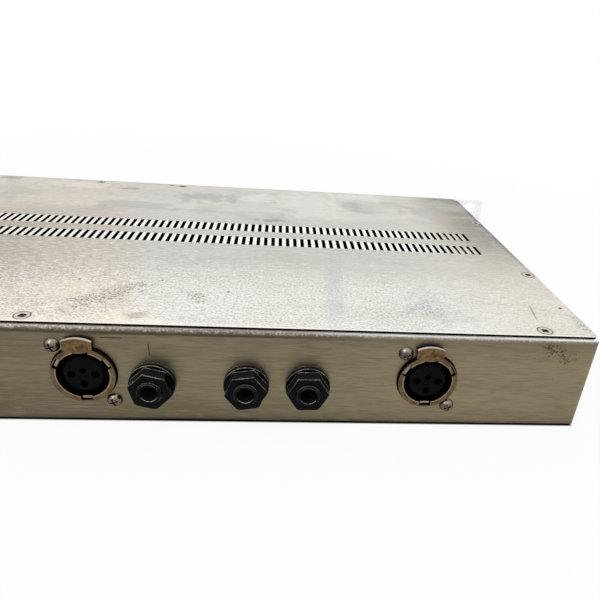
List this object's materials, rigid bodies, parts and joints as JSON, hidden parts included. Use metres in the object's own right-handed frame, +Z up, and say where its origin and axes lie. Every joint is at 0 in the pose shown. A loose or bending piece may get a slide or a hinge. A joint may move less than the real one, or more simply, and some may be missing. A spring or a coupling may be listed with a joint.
{
  "type": "rack compressor",
  "caption": "One-unit rack-mount audio compressor: folded steel chassis with slotted cover, rear audio sockets and mains inlet, front panel with knobs, buttons, meter and rack ears.",
  "frame": {"origin": "centre of the bounding box in plan, on the floor it rests on", "axes": "+X to the right seen from the front, +Y towards the rear connectors, +Z up"},
  "size_m": [0.4826, 0.2272, 0.044],
  "materials": {
    "rear_sheet": "plated folded sheet, brushed and handled",
    "cover_sheet": "bright sheet, fine brushed grain with stains",
    "panel_paint": "satin ivory paint",
    "screw_steel": "zinc-plated steel",
    "panel_screw_black": "black oxide",
    "socket_nickel": "warm nickel plating, worn",
    "socket_black": "moulded insert",
    "contact_metal": "gold-flashed brass",
    "jack_black": "semi-gloss moulding",
    "tinned_metal": "tinned",
    "inlet_black": "moulded",
    "fuse_glass": "glass tube with plated caps",
    "board_green": "solder mask",
    "spacer_brass": "turned",
    "core_tape": "wound core under tape",
    "pad_rubber": "matt",
    "valve_glass": "clear glass",
    "ceramic_white": "glazed ceramic",
    "capacitor_sleeve": "shrunk sleeve",
    "sink_aluminium": "mill finish",
    "regulator_black": "moulded",
    "pot_metal": "plated housing",
    "knob_plastic": "fine moulded texture",
    "button_plastic": "moulded",
    "switch_plastic": "moulded",
    "rocker_plastic": "moulded",
    "meter_plastic": "tinted window",
    "lamp_plastic": "tinted lens"
  },
  "bodies": {
    "chassis": {"chassis_tray": "rear_sheet", "top_cover": "cover_sheet", "cover_screws": "screw_steel", "front_panel": "panel_paint", "panel_screws": "panel_screw_black", "mic_socket_shell": "socket_nickel", "mic_socket_insert": "socket_black", "line_socket_shell": "socket_nickel", "line_socket_insert": "socket_black", "output_socket_shell": "socket_nickel", "output_socket_insert": "socket_black", "output_socket_pins": "contact_metal", "socket_contacts": "contact_metal", "rear_screws": "screw_steel", "line_jack": "jack_black", "link_jack": "jack_black", "insert_jack": "jack_black", "output_jack": "jack_black", "jack_nuts": "jack_black", "jack_contacts": "tinned_metal", "mains_inlet": "inlet_black", "inlet_pins": "tinned_metal", "main_board": "board_green", "board_spacers": "spacer_brass", "board_screws": "screw_steel", "mains_transformer": "core_tape", "transformer_bolt": "screw_steel", "transformer_washer": "screw_steel", "transformer_pads": "pad_rubber", "valve": "valve_glass", "valve_socket": "ceramic_white", "filter_capacitors": "capacitor_sleeve", "heat_sink": "sink_aluminium", "regulators": "regulator_black", "pot_bodies": "pot_metal", "pot_nuts": "screw_steel", "switch_bodies": "switch_plastic", "power_switch": "rocker_plastic", "level_meter": "meter_plastic", "indicator_lamps": "lamp_plastic"},
    "mic_latch": {"mic_socket_latch": "socket_nickel"},
    "line_latch": {"line_socket_latch": "socket_nickel"},
    "fuse_tray": {"fuse_drawer": "inlet_black", "fuse": "fuse_glass"},
    "gain_control": {"gain_shaft": "screw_steel", "gain_knob": "knob_plastic"},
    "threshold_control": {"threshold_shaft": "screw_steel", "threshold_knob": "knob_plastic"},
    "ratio_control": {"ratio_shaft": "screw_steel", "ratio_knob": "knob_plastic"},
    "release_control": {"release_shaft": "screw_steel", "release_knob": "knob_plastic"},
    "output_control": {"output_shaft": "screw_steel", "output_knob": "knob_plastic"},
    "input_press": {"input_button": "button_plastic"},
    "phantom_press": {"phantom_button": "button_plastic"},
    "filter_press": {"filter_button": "button_plastic"},
    "compress_press": {"compress_button": "button_plastic"},
    "meter_press": {"meter_button": "button_plastic"},
    "power_lever": {"power_rocker": "rocker_plastic"}
  },
  "joints": [
    {"name": "mic_latch_push", "type": "slide", "parent": "chassis", "child": "mic_latch", "axis": [0, -1, 0], "range_m": [0, 0.001], "stiffness_N_per_m": 600},
    {"name": "line_latch_push", "type": "slide", "parent": "chassis", "child": "line_latch", "axis": [0, -1, 0], "range_m": [0, 0.001], "stiffness_N_per_m": 600},
    {"name": "fuse_drawer_pull", "type": "slide", "parent": "chassis", "child": "fuse_tray", "axis": [0, 1, 0], "range_m": [0, 0.014]},
    {"name": "gain_turn", "type": "hinge", "parent": "chassis", "child": "gain_control", "pos_m": [-0.16491, -0.0976, 0.022], "axis": [0, -1, 0], "range_deg": [-150, 150]},
    {"name": "threshold_turn", "type": "hinge", "parent": "chassis", "child": "threshold_control", "pos_m": [-0.1049, -0.0976, 0.022], "axis": [0, -1, 0], "range_deg": [-150, 150]},
    {"name": "ratio_turn", "type": "hinge", "parent": "chassis", "child": "ratio_control", "pos_m": [-0.04489, -0.0976, 0.022], "axis": [0, -1, 0], "range_deg": [-150, 150]},
    {"name": "release_turn", "type": "hinge", "parent": "chassis", "child": "release_control", "pos_m": [0.01511, -0.0976, 0.022], "axis": [0, -1, 0], "range_deg": [-150, 150]},
    {"name": "output_turn", "type": "hinge", "parent": "chassis", "child": "output_control", "pos_m": [0.07512, -0.0976, 0.022], "axis": [0, -1, 0], "range_deg": [-150, 150]},
    {"name": "input_push", "type": "slide", "parent": "chassis", "child": "input_press", "axis": [0, 1, 0], "range_m": [0, 0.0025], "stiffness_N_per_m": 300},
    {"name": "phantom_push", "type": "slide", "parent": "chassis", "child": "phantom_press", "axis": [0, 1, 0], "range_m": [0, 0.0025], "stiffness_N_per_m": 300},
    {"name": "filter_push", "type": "slide", "parent": "chassis", "child": "filter_press", "axis": [0, 1, 0], "range_m": [0, 0.0025], "stiffness_N_per_m": 300},
    {"name": "compress_push", "type": "slide", "parent": "chassis", "child": "compress_press", "axis": [0, 1, 0], "range_m": [0, 0.0025], "stiffness_N_per_m": 300},
    {"name": "meter_push", "type": "slide", "parent": "chassis", "child": "meter_press", "axis": [0, 1, 0], "range_m": [0, 0.0025], "stiffness_N_per_m": 300},
    {"name": "power_tilt", "type": "hinge", "parent": "chassis", "child": "power_lever", "pos_m": [0.18691, -0.0946, 0.022], "axis": [-1, 0, 0], "range_deg": [0, 16]}
  ]
}
